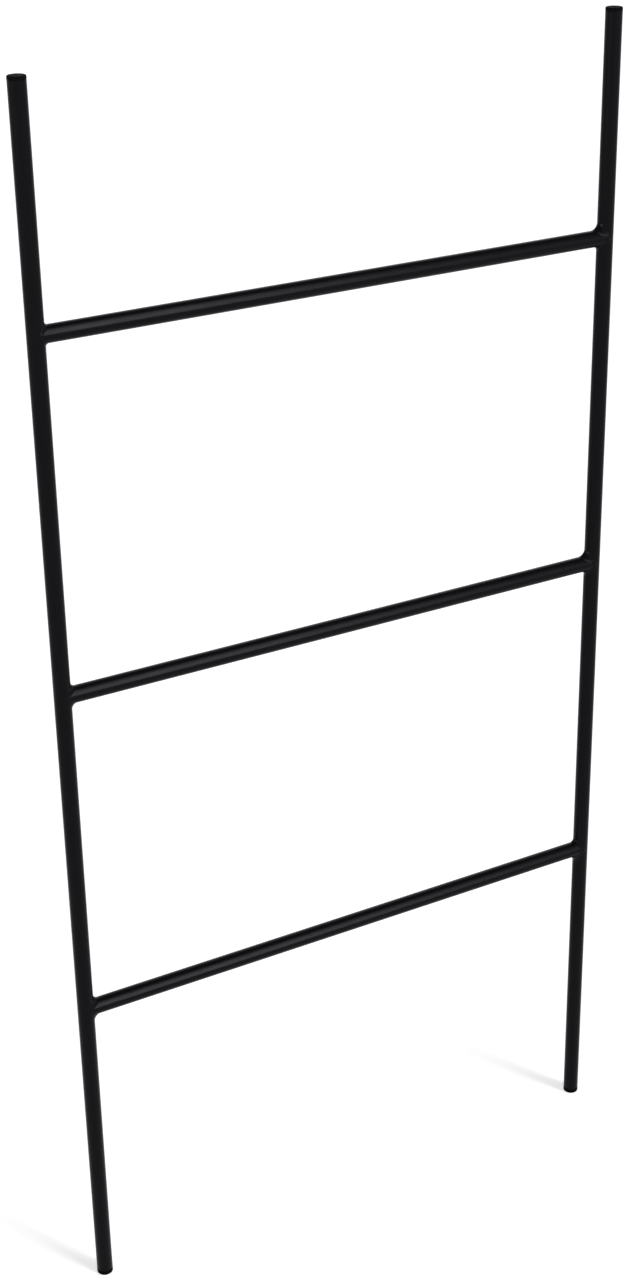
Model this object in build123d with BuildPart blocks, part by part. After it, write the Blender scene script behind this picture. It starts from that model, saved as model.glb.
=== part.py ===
from build123d import *
from math import sqrt
import os

# A free-standing towel ladder of welded round steel tube. Lengths are in millimetres.
# +Z is up, +X runs along the rungs to the right, and +Y points to the wall behind the ladder.
# The origin lies on the floor, midway between the two feet.

# The frame, overall
overall_width = 600
overall_height = 1200
first_rung_height = 320
rung_pitch = 334

# One stock tube for rails and rungs
tube_diameter = 16
tube_wall = 1.5
tube_end_chamfer = 0.3
vent_hole_diameter = 5

# The weld round the end of each rung, dressed to a smooth concave fillet
weld_fillet_radius = 7
weld_toe_bite = 0.1
weld_seam_radius = 2.5
weld_seam_height = 0.6

# The plugs that close the rails: a hard cap at the top and a soft foot at the bottom
cap_height = 3
cap_edge_radius = 1
foot_height = 5
foot_edge_radius = 1.5
plug_seat_chamfer = 0.2
plug_stem_length = 14
plug_stem_wall = 1.6
plug_fin_count = 3
plug_fin_depth = 1
plug_fin_thickness = 1.8
plug_fin_land = 0.6
plug_fin_clearance = 0.1

# How far a cutter runs past what it cuts
overrun = 1

tube_radius = tube_diameter / 2
bore_radius = tube_radius - tube_wall
rail_offset = overall_width / 2 - tube_radius
rail_length = overall_height - cap_height - foot_height
rungs = {
    "lower": first_rung_height,
    "middle": first_rung_height + rung_pitch,
    "upper": first_rung_height + 2 * rung_pitch,
}
sides = {"left": -1, "right": 1}

os.makedirs("parts", exist_ok=True)


def write(piece, name):
    """Labels a finished piece and writes its file."""
    piece.part.label = name
    export_step(piece.part, f"parts/{name}.step")


def make_rail(side):
    """A straight tube between its two plugs, with a vent hole into each rung behind the weld."""
    with BuildPart() as rail:
        with BuildSketch(Plane.XY.offset(foot_height)):
            with Locations((side * rail_offset, 0)):
                Circle(tube_radius)
                Circle(bore_radius, mode=Mode.SUBTRACT)
        extrude(amount=rail_length)
        rims = rail.edges().filter_by(GeomType.CIRCLE).group_by(SortBy.RADIUS)[-1]
        chamfer(rims, tube_end_chamfer)
        for height in rungs.values():
            with BuildSketch(Plane(origin=(side * rail_offset, 0, height), z_dir=(-side, 0, 0))):
                Circle(vent_hole_diameter / 2)
            extrude(amount=tube_radius + overrun, mode=Mode.SUBTRACT)
    return rail


def make_rung(height):
    """A tube from rail to rail, coped at both ends so that it saddles the rails' outer walls."""
    with BuildPart() as rung:
        with BuildSketch(Plane.YZ.offset(-rail_offset)):
            with Locations((0, height)):
                Circle(tube_radius)
                Circle(bore_radius, mode=Mode.SUBTRACT)
        extrude(amount=2 * rail_offset)
        with BuildSketch(Plane.XY.offset(height)):
            with Locations((-rail_offset, 0), (rail_offset, 0)):
                Circle(tube_radius)
        extrude(amount=tube_radius + overrun, both=True, mode=Mode.SUBTRACT)
    return rung


def add_pipe(joint, inward, up, reach, radius, mode):
    """Sweeps a ball along the half ellipse that lies as far as reach from both tubes' axes."""
    mitre = Plane(origin=joint, x_dir=(inward, 0, up), z_dir=(-up, 0, inward))
    with BuildLine(mitre) as path:
        EllipticalCenterArc((0, 0), reach * sqrt(2), reach, start_angle=-90, arc_size=180)
    with BuildSketch(Plane(origin=path.line @ 0, z_dir=path.line % 0)) as ball:
        Circle(radius)
    sweep(ball.sketch, path=path.line, mode=mode)


def make_weld(side, height):
    """The bead round one end of a rung: a concave fillet above and below, and a low seam at each side."""
    inward = -side
    joint = (side * rail_offset, 0, height)
    ball_reach = tube_radius + weld_fillet_radius
    seam_reach = tube_radius + weld_seam_height - weld_seam_radius
    with BuildPart() as weld:
        for up in (1, -1):
            with BuildSketch(Plane(origin=joint, x_dir=(inward, 0, 0), z_dir=(0, -inward, 0))):
                Polygon((0, 0), (ball_reach, up * tube_radius), (tube_radius, up * ball_reach), align=None)
            extrude(amount=tube_radius, both=True)
        for up in (1, -1):
            add_pipe(joint, inward, up, ball_reach, weld_fillet_radius + weld_toe_bite, Mode.SUBTRACT)
        for up in (1, -1):
            add_pipe(joint, inward, up, seam_reach, weld_seam_radius, Mode.ADD)
        with Locations((joint[0], -seam_reach, height), (joint[0], seam_reach, height)):
            Sphere(weld_seam_radius)
        with BuildSketch(Plane.XY.offset(height)):
            with Locations((joint[0], 0)):
                Circle(tube_radius)
        extrude(amount=ball_reach + overrun, both=True, mode=Mode.SUBTRACT)
        with BuildSketch(Plane.YZ.offset(joint[0])):
            with Locations((0, height)):
                Circle(tube_radius)
        extrude(amount=ball_reach + overrun, both=True, mode=Mode.SUBTRACT)
    return weld


def make_plug(side, seat, into, head_height, edge_radius):
    """A moulded plug: its head is flush with the tube and its finned stem fills the bore."""
    x = side * rail_offset
    fin_radius = bore_radius - plug_fin_clearance
    stem_radius = fin_radius - plug_fin_depth
    fin_pitch = plug_stem_length / plug_fin_count
    with BuildPart() as plug:
        with BuildSketch(Plane(origin=(x, 0, seat), x_dir=(1, 0, 0), z_dir=(0, -into, 0))):
            with Locations((0, -head_height)):
                Rectangle(tube_radius, head_height, align=Align.MIN)
            with Locations((stem_radius - plug_stem_wall, 0)):
                Rectangle(plug_stem_wall, plug_stem_length, align=Align.MIN)
            for fin in range(plug_fin_count):
                start = (fin_pitch - plug_fin_thickness) / 2 + fin * fin_pitch
                Polygon(
                    (stem_radius, start),
                    (fin_radius, start),
                    (fin_radius, start + plug_fin_land),
                    (stem_radius, start + plug_fin_thickness),
                    align=None,
                )
        revolve(axis=Axis((x, 0, 0), (0, 0, 1)))
        rims = plug.edges().filter_by(GeomType.CIRCLE).group_by(SortBy.RADIUS)[-1].sort_by(Axis.Z)
        shown, seated = (rims[0], rims[-1]) if into > 0 else (rims[-1], rims[0])
        fillet(shown, edge_radius)
        chamfer(seated, plug_seat_chamfer)
    return plug


for side_name, side in sides.items():
    write(make_rail(side), f"{side_name}_rail")
    write(make_plug(side, foot_height, 1, foot_height, foot_edge_radius), f"{side_name}_foot")
    write(make_plug(side, overall_height - cap_height, -1, cap_height, cap_edge_radius), f"{side_name}_cap")

for rung_name, height in rungs.items():
    write(make_rung(height), f"{rung_name}_rung")
    for side_name, side in sides.items():
        write(make_weld(side, height), f"{rung_name}_rung_{side_name}_weld")
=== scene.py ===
from math import atan2, cos, hypot, pi, radians, sin, sqrt, tau

import bmesh
import bpy
from mathutils import Matrix, Vector, noise


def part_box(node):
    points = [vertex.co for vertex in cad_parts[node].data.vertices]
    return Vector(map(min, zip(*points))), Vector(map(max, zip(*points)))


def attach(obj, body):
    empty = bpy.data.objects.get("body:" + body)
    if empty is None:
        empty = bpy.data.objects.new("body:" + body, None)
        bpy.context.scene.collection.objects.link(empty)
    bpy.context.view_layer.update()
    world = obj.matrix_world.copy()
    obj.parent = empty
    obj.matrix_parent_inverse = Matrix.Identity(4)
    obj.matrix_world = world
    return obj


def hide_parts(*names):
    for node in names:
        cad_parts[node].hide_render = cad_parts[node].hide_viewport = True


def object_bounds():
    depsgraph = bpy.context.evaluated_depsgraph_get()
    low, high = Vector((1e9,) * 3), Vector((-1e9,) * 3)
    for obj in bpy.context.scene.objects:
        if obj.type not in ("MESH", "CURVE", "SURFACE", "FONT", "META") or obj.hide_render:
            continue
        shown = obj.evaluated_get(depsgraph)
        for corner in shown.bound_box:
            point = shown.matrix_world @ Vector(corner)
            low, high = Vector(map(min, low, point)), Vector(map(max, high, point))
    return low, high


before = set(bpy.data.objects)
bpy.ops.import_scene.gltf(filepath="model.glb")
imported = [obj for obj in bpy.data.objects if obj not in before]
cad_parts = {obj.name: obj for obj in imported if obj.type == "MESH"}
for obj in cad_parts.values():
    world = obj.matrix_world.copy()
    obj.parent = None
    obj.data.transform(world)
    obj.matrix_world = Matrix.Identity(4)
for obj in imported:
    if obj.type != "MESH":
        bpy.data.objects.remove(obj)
cad_low, cad_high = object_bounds()

# A towel ladder of welded tube, which leans on a wall in use and stands upright here. Named lengths are
# in metres and named angles in degrees, unless a comment says otherwise. The frame is that of the CAD
# model: +Z is up, +X runs along the rungs to the right and +Y points to the wall behind the ladder.
MM = 0.001

# Sizes and places read from the frame
SIDES = {"left": -1, "right": 1}
RUNGS = ("lower", "middle", "upper")
rail_low, rail_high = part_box("left_rail")
TUBE_RADIUS = (rail_high.x - rail_low.x) / 2
RAIL_OFFSET = -(rail_high.x + rail_low.x) / 2
RAIL_BOTTOM = rail_low.z
RAIL_TOP = rail_high.z
TOP = cad_high.z
RUNG_HEIGHT = {name: sum(corner.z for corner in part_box(f"{name}_rung")) / 2 for name in RUNGS}
WELD_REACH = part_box("lower_rung_left_weld")[1].x + RAIL_OFFSET
CAP_STEM_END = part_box("left_cap")[0].z
FOOT_STEM_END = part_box("left_foot")[1].z

# The tube's wall and rim, which no box of the frame shows
TUBE_WALL = 1.5 * MM
TUBE_CHAMFER = 0.3 * MM
BORE_RADIUS = TUBE_RADIUS - TUBE_WALL

# Faces round a tube or a plug
ROUND = 96

# Points of a mesh that lie nearer than this are joined
MERGE_DISTANCE = 0.0005 * MM

# Faces that meet at more than this angle have a sharp edge between them
TUBE_SHARP = 30
WELD_SHARP = 50
PLUG_SHARP = 35


# Mesh helpers

def loft(rings):
    """Closed rings joined one after the other, the last to the first, as a list of points and quads."""
    count = len(rings[0])
    points = [point for ring in rings for point in ring]
    faces = []
    for i in range(len(rings)):
        here, there = i * count, (i + 1) % len(rings) * count
        for j in range(count):
            k = (j + 1) % count
            faces.append((here + j, here + k, there + k, there + j))
    return points, faces


def lathe(centre, profile):
    """A profile of (radius, height) turned about a vertical axis, on which both its ends lie."""
    points, faces = [], []
    for radius, height in profile[1:-1]:
        for j in range(ROUND):
            angle = tau * j / ROUND
            points.append((centre + radius * cos(angle), radius * sin(angle), height))
    first_pole, last_pole = len(points), len(points) + 1
    points += [(centre, 0, profile[0][1]), (centre, 0, profile[-1][1])]
    for j in range(ROUND):
        k = (j + 1) % ROUND
        faces.append((first_pole, k, j))
        for i in range(len(profile) - 3):
            here, there = i * ROUND, (i + 1) * ROUND
            faces.append((here + j, here + k, there + k, there + j))
        last = (len(profile) - 3) * ROUND
        faces.append((last_pole, last + j, last + k))
    return points, faces


def add_piece(name, points, faces, material, node, sharp, uvs=None):
    """A smooth-shaded piece that rides on the frame and stands for a CAD node."""
    mesh = bpy.data.meshes.new(name)
    mesh.from_pydata(points, [], faces)
    if uvs:
        layer = mesh.uv_layers.new(name="OFBake")
        layer.uv.foreach_set("vector", [value for corner in uvs for value in corner])
    tidy = bmesh.new()
    tidy.from_mesh(mesh)
    bmesh.ops.remove_doubles(tidy, verts=tidy.verts, dist=MERGE_DISTANCE)
    bmesh.ops.recalc_face_normals(tidy, faces=tidy.faces)
    tidy.to_mesh(mesh)
    tidy.free()
    mesh.polygons.foreach_set("use_smooth", [True] * len(mesh.polygons))
    mesh.set_sharp_from_angle(angle=radians(sharp))
    mesh.materials.append(material)
    piece = bpy.data.objects.new(name, mesh)
    bpy.context.scene.collection.objects.link(piece)
    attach(piece, "root")
    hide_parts(node)


# Material helpers

# The sockets of a Mix node that hold its two numbers, its two colours and the mixed colour
MIX_NUMBER_A, MIX_NUMBER_B = 2, 3
MIX_COLOUR_A, MIX_COLOUR_B = 6, 7
MIX_COLOUR_OUT = 2


def node_maker(tree):
    """A function that adds a node to the tree, with its inputs set or linked."""
    def node(kind, inputs=None, **settings):
        made = tree.nodes.new(kind)
        for key, value in settings.items():
            setattr(made, key, value)
        for key, value in (inputs or {}).items():
            if isinstance(value, bpy.types.NodeSocket):
                tree.links.new(value, made.inputs[key])
            else:
                made.inputs[key].default_value = value
        return made

    return node


def new_material(name):
    """A material with its shader and output, and a function that adds a node to it."""
    material = bpy.data.materials.new(name)
    material.use_nodes = True
    return material, material.node_tree, node_maker(material.node_tree)


def ramped(node, value, low, high, start=0.0, end=1.0):
    """Value carried from one range to another, held at its ends."""
    made = node(
        "ShaderNodeMapRange",
        {"Value": value, "From Min": start, "From Max": end, "To Min": low, "To Max": high},
    )
    return made.outputs["Result"]


def noise_of(node, place, size, detail=2.0, roughness=0.5):
    """Noise whose blobs are about this many metres across."""
    made = node(
        "ShaderNodeTexNoise",
        {"Vector": place, "Scale": 1 / size, "Detail": detail, "Roughness": roughness},
    )
    return made.outputs["Fac"]


def bumped(node, height, depth, normal=None):
    """A bump whose full height, from 0 to 1, is this many metres."""
    inputs = {"Height": height, "Strength": 1.0, "Distance": depth}
    if normal:
        inputs["Normal"] = normal
    return node("ShaderNodeBump", inputs).outputs["Normal"]


def mixed_colour(node, factor, first, second):
    """The first colour where the factor is 0, the second where it is 1, and between them a mixture."""
    made = node("ShaderNodeMix", {"Factor": factor}, data_type="RGBA")
    made.inputs[MIX_COLOUR_A].default_value = (*first, 1)
    made.inputs[MIX_COLOUR_B].default_value = (*second, 1)
    return made.outputs[MIX_COLOUR_OUT]


# Materials

# Most of a noise's values lie between these
NOISE_RANGE = (0.3, 0.7)

COAT_DARK = (0.0032, 0.0032, 0.0038)
COAT_LIGHT = (0.0052, 0.0052, 0.0062)
COAT_ROUGHNESS = 0.24
COAT_ROUGHNESS_SPREAD = 0.03
COAT_SPECULAR = 0.05
COAT_TINT = (0.9, 0.89, 1, 1)
COAT_PATCH_SIZE = 60 * MM
COAT_GRAIN_SIZE = 0.28 * MM

MOULDED_HAZE_SIZE = 3 * MM
MOULDED_ROUGHNESS_SPREAD = 0.06


def powder_coat(name, peel_size, peel_depth, grain_depth):
    """Satin black powder coat: a soft orange peel, a fine grain on it and slow changes of gloss."""
    material, tree, node = new_material(name)
    place = node("ShaderNodeTexCoord").outputs["Object"]
    patches = noise_of(node, place, COAT_PATCH_SIZE, detail=3.0, roughness=0.55)
    peel = noise_of(node, place, peel_size, detail=1.5, roughness=0.35)
    grain = noise_of(node, place, COAT_GRAIN_SIZE, detail=2.0, roughness=0.6)
    shader = tree.nodes["Principled BSDF"]
    colour = mixed_colour(node, ramped(node, grain, 0, 1, *NOISE_RANGE), COAT_DARK, COAT_LIGHT)
    tree.links.new(colour, shader.inputs["Base Color"])
    smooth, dull = COAT_ROUGHNESS - COAT_ROUGHNESS_SPREAD, COAT_ROUGHNESS + COAT_ROUGHNESS_SPREAD
    sheen = ramped(node, patches, smooth, dull, *NOISE_RANGE)
    tree.links.new(sheen, shader.inputs["Roughness"])
    normal = bumped(node, peel, peel_depth)
    tree.links.new(bumped(node, grain, grain_depth, normal), shader.inputs["Normal"])
    shader.inputs["Specular IOR Level"].default_value = COAT_SPECULAR
    shader.inputs["Specular Tint"].default_value = COAT_TINT
    return material


def moulded(name, dark, light, roughness, texture_size, texture_depth, specular):
    """A moulded plastic or rubber with the fine spark-eroded texture of its mould."""
    material, tree, node = new_material(name)
    place = node("ShaderNodeTexCoord").outputs["Object"]
    haze = noise_of(node, place, MOULDED_HAZE_SIZE, detail=3.0, roughness=0.6)
    texture = noise_of(node, place, texture_size, detail=2.0, roughness=0.55)
    shader = tree.nodes["Principled BSDF"]
    colour = mixed_colour(node, ramped(node, haze, 0, 1, *NOISE_RANGE), dark, light)
    tree.links.new(colour, shader.inputs["Base Color"])
    smooth, dull = roughness - MOULDED_ROUGHNESS_SPREAD, roughness + MOULDED_ROUGHNESS_SPREAD
    sheen = ramped(node, texture, smooth, dull, *NOISE_RANGE)
    tree.links.new(sheen, shader.inputs["Roughness"])
    tree.links.new(bumped(node, texture, texture_depth), shader.inputs["Normal"])
    shader.inputs["Specular IOR Level"].default_value = specular
    return material


tube_coat = powder_coat(
    "powder_coat",
    peel_size=2.4 * MM,
    peel_depth=0.05 * MM,
    grain_depth=0.006 * MM,
)
weld_coat = powder_coat(
    "powder_coat_on_weld",
    peel_size=3.2 * MM,
    peel_depth=0.06 * MM,
    grain_depth=0.005 * MM,
)
cap_plastic = moulded(
    "cap_plastic",
    dark=(0.003, 0.003, 0.0033),
    light=(0.0055, 0.0055, 0.006),
    roughness=0.6,
    texture_size=0.22 * MM,
    texture_depth=0.012 * MM,
    specular=0.01,
)
foot_rubber = moulded(
    "foot_rubber",
    dark=(0.002, 0.002, 0.002),
    light=(0.0036, 0.0035, 0.0034),
    roughness=0.72,
    texture_size=0.16 * MM,
    texture_depth=0.012 * MM,
    specular=0.008,
)


# Tubes

# A tube's map has its outer wall cut into strips, with a gap between them, and its rims and bore in one
# narrow strip beside them
RAIL_STRIPS = 5
RUNG_STRIPS = 3
MAP_GAP = 1.2 * MM
MAP_HIDDEN_WIDTH = 6 * MM

# How far down from the back the seam of a rung's map is turned, in radians
RUNG_SEAM_TURN = tau / 8


def tube(name, place, start, end, chamfer, strips, node):
    """A tube between two ends, with its map laid out as lengths of its outer wall side by side.

    place turns an angle, a radius and a distance along the tube into a point. start and end give that
    distance at each end for an angle and a radius.
    """
    angles = [tau * j / ROUND for j in range(ROUND)]
    low = min(start(a, TUBE_RADIUS) for a in angles)
    high = max(end(a, TUBE_RADIUS) for a in angles)
    strip_length = (high - low) / strips
    girth = tau * TUBE_RADIUS
    pitch = girth + MAP_GAP
    extent = max(strips * pitch + MAP_HIDDEN_WIDTH + MAP_GAP, strip_length + 2 * MAP_GAP)

    def ring(radius, along):
        return [(place(a, radius, along(a)), along(a)) for a in angles]

    rings = [ring(TUBE_RADIUS, lambda a: start(a, TUBE_RADIUS) + chamfer)]
    for i in range(1, strips):
        rings.append(ring(TUBE_RADIUS, lambda a, i=i: low + i * strip_length))
    rings.append(ring(TUBE_RADIUS, lambda a: end(a, TUBE_RADIUS) - chamfer))
    if chamfer:
        rings.append(ring(TUBE_RADIUS - chamfer, lambda a: end(a, TUBE_RADIUS)))
    rings.append(ring(BORE_RADIUS, lambda a: end(a, BORE_RADIUS)))
    rings.append(ring(BORE_RADIUS, lambda a: start(a, BORE_RADIUS)))
    if chamfer:
        rings.append(ring(TUBE_RADIUS - chamfer, lambda a: start(a, TUBE_RADIUS)))
    points, faces = loft([[point for point, _ in each] for each in rings])

    uvs = []
    for i in range(len(rings)):
        below, above = rings[i], rings[(i + 1) % len(rings)]
        for j in range(ROUND):
            k = (j + 1) % ROUND
            corners = ((j, below[j]), (j + 1, below[k]), (j + 1, above[k]), (j, above[j]))
            for turn, (_, along) in corners:
                if i < strips:
                    across = MAP_GAP + i * pitch + girth * turn / ROUND
                    up = MAP_GAP + along - low - i * strip_length
                else:
                    across = MAP_GAP + strips * pitch + MAP_HIDDEN_WIDTH * turn / ROUND
                    up = MAP_GAP + (along - low) / strips
                uvs.append((across / extent, up / extent))
    add_piece(name, points, faces, tube_coat, node, TUBE_SHARP, uvs)


def rail(side_name):
    """An upright from its foot to its cap. Its map's seam faces the wall."""
    x = SIDES[side_name] * RAIL_OFFSET

    def place(angle, radius, along):
        return (x - radius * sin(angle), radius * cos(angle), along)

    tube(
        f"{side_name}_rail_tube",
        place,
        lambda a, r: RAIL_BOTTOM,
        lambda a, r: RAIL_TOP,
        chamfer=TUBE_CHAMFER,
        strips=RAIL_STRIPS,
        node=f"{side_name}_rail",
    )


def rung(name):
    """A rung, coped at both ends to saddle the rails. Its map's seam lies below and behind."""
    height = RUNG_HEIGHT[name]

    def place(angle, radius, along):
        turn = angle - RUNG_SEAM_TURN
        return (along, radius * cos(turn), height + radius * sin(turn))

    def cope(angle, radius):
        return sqrt(TUBE_RADIUS**2 - (radius * cos(angle - RUNG_SEAM_TURN)) ** 2)

    tube(
        f"{name}_rung_tube",
        place,
        lambda a, r: -RAIL_OFFSET + cope(a, r),
        lambda a, r: RAIL_OFFSET - cope(a, r),
        chamfer=0,
        strips=RUNG_STRIPS,
        node=f"{name}_rung",
    )


# Welds

# A bead's usual leg, which runs out a little past that of the CAD fillet
WELD_FEATHER = 0.8 * MM
WELD_LEG = WELD_REACH - TUBE_RADIUS + WELD_FEATHER

# Hand-laid welds differ in size: shares of the usual leg, above and below the rung
WELD_SIZES = {
    ("upper", "left"): (0.54, 0.38),
    ("middle", "left"): (0.91, 0.84),
    ("lower", "left"): (1.17, 1.06),
    ("upper", "right"): (1.28, 0.95),
    ("middle", "right"): (1.28, 1.02),
    ("lower", "right"): (0.76, 1.32),
}
WELD_SIDE_LEG = 1.8 * MM
WELD_ROUNDING = 0.9 * MM

# How sharply a leg passes from its length above or below to that at the side, and a bead to its ridge
WELD_LEG_POWER = 4
WELD_LEAN_POWER = 4

# The ridge at a bead's sides, and the ripples across it, which curve and fade by these shares
WELD_RIDGE = 0.4 * MM
WELD_RIDGE_POWER = 1.5
WELD_RIPPLE = 0.035 * MM
WELD_RIPPLE_LENGTH = 1.7 * MM
WELD_RIPPLE_CURVE_SHARE = 0.35
WELD_RIPPLE_FADE_SHARE = 0.7

# How much a leg's length wanders as a share of it, how fast, and where each bead's wandering starts
WELD_WANDER_SHARE = 0.06
WELD_WANDER_PACE = 2.2
WELD_RUNG_SEED = 7.3
WELD_SIDE_SEED = 3.1

# Sections round a bead and steps across it, and how far its toes and its back lie inside the tubes
WELD_STATIONS = 320
WELD_STEPS = 14
WELD_TOE_SINK = 0.012 * MM
WELD_ROOT_SINK = 0.3 * MM


def weld(rung_name, side_name):
    """The bead round a rung's end: a concave fillet above and below, and a low ridge at each side."""
    side = SIDES[side_name]
    height = RUNG_HEIGHT[rung_name]
    leg_above, leg_below = (share * WELD_LEG for share in WELD_SIZES[rung_name, side_name])
    seed = WELD_RUNG_SEED * RUNGS.index(rung_name) + WELD_SIDE_SEED * side
    rings = []
    travelled, last = 0.0, None
    for i in range(WELD_STATIONS):
        turn = tau * i / WELD_STATIONS
        y, z = TUBE_RADIUS * sin(turn), TUBE_RADIUS * cos(turn)
        x = hypot(z, WELD_ROUNDING)
        lean = abs(sin(turn)) ** WELD_LEAN_POWER
        spot = Vector((WELD_WANDER_PACE * cos(turn), WELD_WANDER_PACE * sin(turn), seed))
        wander = 1 + WELD_WANDER_SHARE * noise.noise(spot)
        full_leg = leg_above if cos(turn) > 0 else leg_below
        high_part = (full_leg * cos(turn)) ** WELD_LEG_POWER
        leg = wander * (high_part + WELD_SIDE_LEG**WELD_LEG_POWER) ** (1 / WELD_LEG_POWER)
        root = Vector((x, y, z))
        if last is not None:
            travelled += (root - last).length
        last = root

        # Above and below the rung, the toe on the rail lies along the rail. At the rung's sides it goes
        # round the rail, away from the rung.
        away = Vector((-lean, cos(turn))).normalized() * leg
        swing = atan2(abs(y), x) - away.x / TUBE_RADIUS
        toe_radius = TUBE_RADIUS - WELD_TOE_SINK
        y_sign = 1 if y >= 0 else -1
        rail_toe = Vector((toe_radius * cos(swing), y_sign * toe_radius * sin(swing), z + away.y))
        rail_out = Vector((cos(swing), y_sign * sin(swing), 0))

        rung_out = Vector((0, y, z)).normalized()
        rung_toe = Vector((x + leg, 0, 0)) + rung_out * toe_radius
        out = (Vector((x, y, 0)).normalized() + rung_out).normalized()

        # A curve from toe to toe that is a quarter circle where its legs stand square
        ring = []
        for step in range(WELD_STEPS + 1):
            v = step / WELD_STEPS
            a, b, c = (1 - v) ** 2, sqrt(2) * v * (1 - v), v**2
            point = (a * rail_toe + b * root + c * rung_toe) / (a + b + c)
            crown = 1 - (2 * v - 1) ** 2
            phase = tau * (travelled / WELD_RIPPLE_LENGTH + WELD_RIPPLE_CURVE_SHARE * crown)
            ridge = WELD_RIDGE * lean * crown**WELD_RIDGE_POWER
            ripple = WELD_RIPPLE * crown * (1 - WELD_RIPPLE_FADE_SHARE * lean) * sin(phase)
            ring.append(point + out * (ridge + ripple))
        ring.append(rung_toe - rung_out * WELD_ROOT_SINK)
        ring.append(root - out * WELD_ROOT_SINK)
        ring.append(rail_toe - rail_out * WELD_ROOT_SINK)
        rings.append([(side * RAIL_OFFSET - side * p.x, p.y, height + p.z) for p in ring])
    points, faces = loft(rings)
    node = f"{rung_name}_rung_{side_name}_weld"
    add_piece(f"{node}_bead", points, faces, weld_coat, node, WELD_SHARP)


# Plugs

CAP_EDGE_RADIUS = 1 * MM
FOOT_EDGE_RADIUS = 1.5 * MM
PLUG_STEM_WALL = 1.6 * MM
PLUG_FINS = 3
PLUG_FIN_DEPTH = 1 * MM
PLUG_FIN_THICKNESS = 1.8 * MM
PLUG_FIN_LAND = 0.6 * MM
PLUG_FIN_CLEARANCE = 0.1 * MM
PLUG_SEAT_CHAMFER = 0.2 * MM
GATE_RADIUS = 1.1 * MM
GATE_DEPTH = 0.25 * MM
GATE_SLOPE = 0.2 * MM
EDGE_STEPS = 8


def plug(name, side_name, shown, seat, stem_end, edge_radius, material, node):
    """A moulded plug, turned from the middle of its face, round its edge and along its finned stem."""
    into = 1 if stem_end > seat else -1
    fin_radius = BORE_RADIUS - PLUG_FIN_CLEARANCE
    stem_radius = fin_radius - PLUG_FIN_DEPTH
    profile = [(0, shown + into * GATE_DEPTH), (GATE_RADIUS, shown + into * GATE_DEPTH)]
    profile.append((GATE_RADIUS + GATE_SLOPE, shown))
    for step in range(EDGE_STEPS + 1):
        angle = pi / 2 * step / EDGE_STEPS
        radius = TUBE_RADIUS - edge_radius + edge_radius * sin(angle)
        profile.append((radius, shown + into * edge_radius * (1 - cos(angle))))
    profile.append((TUBE_RADIUS, seat - into * PLUG_SEAT_CHAMFER))
    profile.append((TUBE_RADIUS - PLUG_SEAT_CHAMFER, seat))
    profile.append((stem_radius, seat))
    pitch = abs(stem_end - seat) / PLUG_FINS
    for fin in range(PLUG_FINS):
        start = (pitch - PLUG_FIN_THICKNESS) / 2 + fin * pitch
        profile.append((stem_radius, seat + into * start))
        profile.append((fin_radius, seat + into * start))
        profile.append((fin_radius, seat + into * (start + PLUG_FIN_LAND)))
        profile.append((stem_radius, seat + into * (start + PLUG_FIN_THICKNESS)))
    profile.append((stem_radius, stem_end))
    profile.append((stem_radius - PLUG_STEM_WALL, stem_end))
    profile.append((stem_radius - PLUG_STEM_WALL, seat))
    profile.append((0, seat))
    points, faces = lathe(SIDES[side_name] * RAIL_OFFSET, profile)
    add_piece(name, points, faces, material, node, PLUG_SHARP)


for side_name in SIDES:
    rail(side_name)
    plug(
        f"{side_name}_cap_plug", side_name, TOP, RAIL_TOP, CAP_STEM_END, CAP_EDGE_RADIUS,
        cap_plastic, f"{side_name}_cap",
    )
    plug(
        f"{side_name}_foot_plug", side_name, 0, RAIL_BOTTOM, FOOT_STEM_END, FOOT_EDGE_RADIUS,
        foot_rubber, f"{side_name}_foot",
    )

for rung_name in RUNGS:
    rung(rung_name)
    for side_name in SIDES:
        weld(rung_name, side_name)


# Camera

CAMERA_PLACE = Vector((-0.9379, -1.6056, 1.5031))
CAMERA_AIM = Vector((-0.0331, 0, 0.6464))
CAMERA_ROLL = 1.09

# In millimetres, as Blender's cameras count them
CAMERA_LENS = 60.27
CAMERA_SENSOR = 36

camera_data = bpy.data.cameras.new("camera")
camera_data.lens = CAMERA_LENS
camera_data.sensor_width = CAMERA_SENSOR
camera = bpy.data.objects.new("camera", camera_data)
look = (CAMERA_AIM - CAMERA_PLACE).to_track_quat("-Z", "Y").to_matrix().to_4x4()
roll = Matrix.Rotation(-radians(CAMERA_ROLL), 4, "Z")
camera.matrix_world = Matrix.Translation(CAMERA_PLACE) @ look @ roll
bpy.context.scene.collection.objects.link(camera)
bpy.context.scene.camera = camera


# Studio

FLOOR_HALF = 40
FLOOR_COLOUR = (0.8, 0.8, 0.8)
FLOOR_LIFT = 0.6
PAPER_FIBRE_SIZE = 4 * MM
PAPER_FIBRE_DEPTH = 0.02 * MM

# The key lamps stand one above the other: how far to the right each shines from, as the share of its
# direction that lies along X, how wide each is, and the strength of each by how far up it stands, as an
# angle seen from the side
KEY_SIDE_SHARE = 0.36
KEY_ANGLE = 14
KEY_STRENGTHS = {6: 0.66, 20: 0.68, 34: 0.74, 48: 0.48, 62: 0.24}

# The fill lamps at the left side and at the back
SIDE_AZIMUTH, SIDE_ELEVATION, SIDE_ANGLE, SIDE_STRENGTH = -78, 8, 30, 2.0
BACK_AZIMUTH, BACK_ELEVATION, BACK_ANGLE, BACK_STRENGTH = 145, 26, 40, 0.45

# The world's level at the horizon and above, and the heights, as sines of the elevation, between which
# that level and the white that is seen directly fade
WORLD_HORIZON, WORLD_ZENITH = 0.15, 0.1
WORLD_FADE = (0.03, 0.3)
BACKDROP_FADE = (0.32, 0.42)


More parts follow.
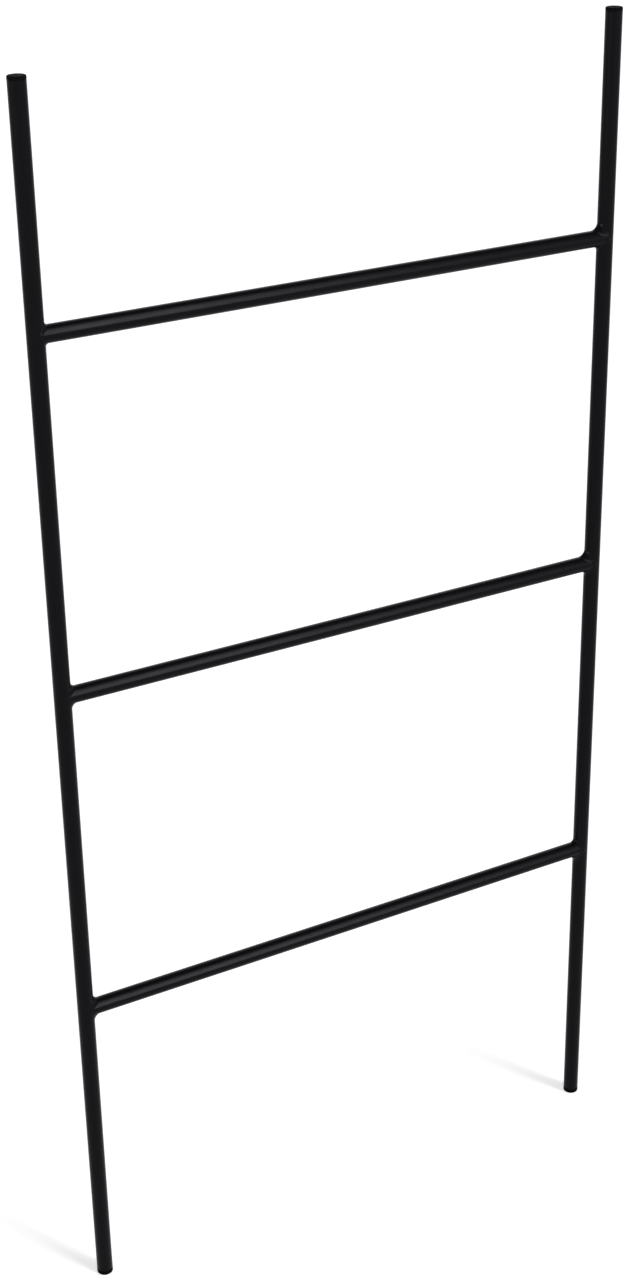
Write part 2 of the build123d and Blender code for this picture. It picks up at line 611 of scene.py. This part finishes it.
def seen_directly(node):
    """One for what the camera sees, straight or by a mirror or glass, and nothing for other light."""
    rays = node("ShaderNodeLightPath").outputs
    seen = rays["Is Camera Ray"]
    for ray in ("Is Glossy Ray", "Is Transmission Ray"):
        seen = node("ShaderNodeMath", {0: seen, 1: rays[ray]}, operation="MAXIMUM").outputs[0]
    return seen


def pale_floor():
    """A pale floor that takes shadows, lifted to white for the camera and for what mirrors it."""
    material, tree, node = new_material("floor_paper")
    tree.nodes.remove(tree.nodes["Principled BSDF"])
    place = node("ShaderNodeTexCoord").outputs["Object"]
    fibres = noise_of(node, place, PAPER_FIBRE_SIZE)
    normal = bumped(node, fibres, PAPER_FIBRE_DEPTH)
    paper = node("ShaderNodeBsdfDiffuse", {"Color": (*FLOOR_COLOUR, 1), "Normal": normal})
    lift = node("ShaderNodeMath", {0: seen_directly(node), 1: FLOOR_LIFT}, operation="MULTIPLY")
    glow = node("ShaderNodeEmission", {"Strength": lift.outputs[0]})
    both = node("ShaderNodeAddShader", {0: paper.outputs[0], 1: glow.outputs[0]})
    tree.links.new(both.outputs[0], tree.nodes["Material Output"].inputs["Surface"])
    return material


def add_floor():
    """A flat floor that reaches past the view on every side."""
    mesh = bpy.data.meshes.new("floor")
    h = FLOOR_HALF
    mesh.from_pydata([(-h, -h, 0), (h, -h, 0), (h, h, 0), (-h, h, 0)], [], [(0, 1, 2, 3)])
    mesh.materials.append(pale_floor())
    floor = bpy.data.objects.new("floor", mesh)
    bpy.context.scene.collection.objects.link(floor)


def add_sun(name, towards, angle, strength):
    """A broad soft light from far off, in the given direction."""
    lamp = bpy.data.lights.new(name, "SUN")
    lamp.energy = strength
    lamp.angle = radians(angle)
    light = bpy.data.objects.new(name, lamp)
    light.rotation_euler = Vector(towards).to_track_quat("Z", "Y").to_euler()
    bpy.context.scene.collection.objects.link(light)


def add_key():
    """A tall strip of light in front of the ladder and a little to its right."""
    across = sqrt(1 - KEY_SIDE_SHARE**2)
    for elevation, strength in KEY_STRENGTHS.items():
        e = radians(elevation)
        towards = (KEY_SIDE_SHARE, -across * cos(e), across * sin(e))
        add_sun(f"key_{elevation}", towards, KEY_ANGLE, strength)


def add_fill(name, azimuth, elevation, angle, strength):
    """A light at an angle round the ladder, counted from the front towards its right."""
    a, e = radians(azimuth), radians(elevation)
    add_sun(name, (sin(a) * cos(e), -cos(a) * cos(e), sin(e)), angle, strength)


def add_world():
    """A dim studio, paler towards the horizon, where the camera sees it as white as the floor."""
    world = bpy.data.worlds.new("studio")
    bpy.context.scene.world = world
    world.use_nodes = True
    tree = world.node_tree
    node = node_maker(tree)
    direction = node("ShaderNodeTexCoord").outputs["Generated"]
    height = node("ShaderNodeSeparateXYZ", {0: direction}).outputs["Z"]
    dim = ramped(node, height, WORLD_HORIZON, WORLD_ZENITH, *WORLD_FADE)
    band = ramped(node, height, 1, 0, *BACKDROP_FADE)
    white = node("ShaderNodeMath", {0: band, 1: seen_directly(node)}, operation="MULTIPLY")
    level = node("ShaderNodeMix", {"Factor": white.outputs[0], MIX_NUMBER_A: dim, MIX_NUMBER_B: 1.0})
    tree.links.new(level.outputs[0], tree.nodes["Background"].inputs["Strength"])
    tree.nodes["Background"].inputs["Color"].default_value = (1, 1, 1, 1)


add_floor()
add_key()
add_fill("side", SIDE_AZIMUTH, SIDE_ELEVATION, SIDE_ANGLE, SIDE_STRENGTH)
add_fill("back", BACK_AZIMUTH, BACK_ELEVATION, BACK_ANGLE, BACK_STRENGTH)
add_world()
bpy.context.scene.view_settings.view_transform = "Standard"
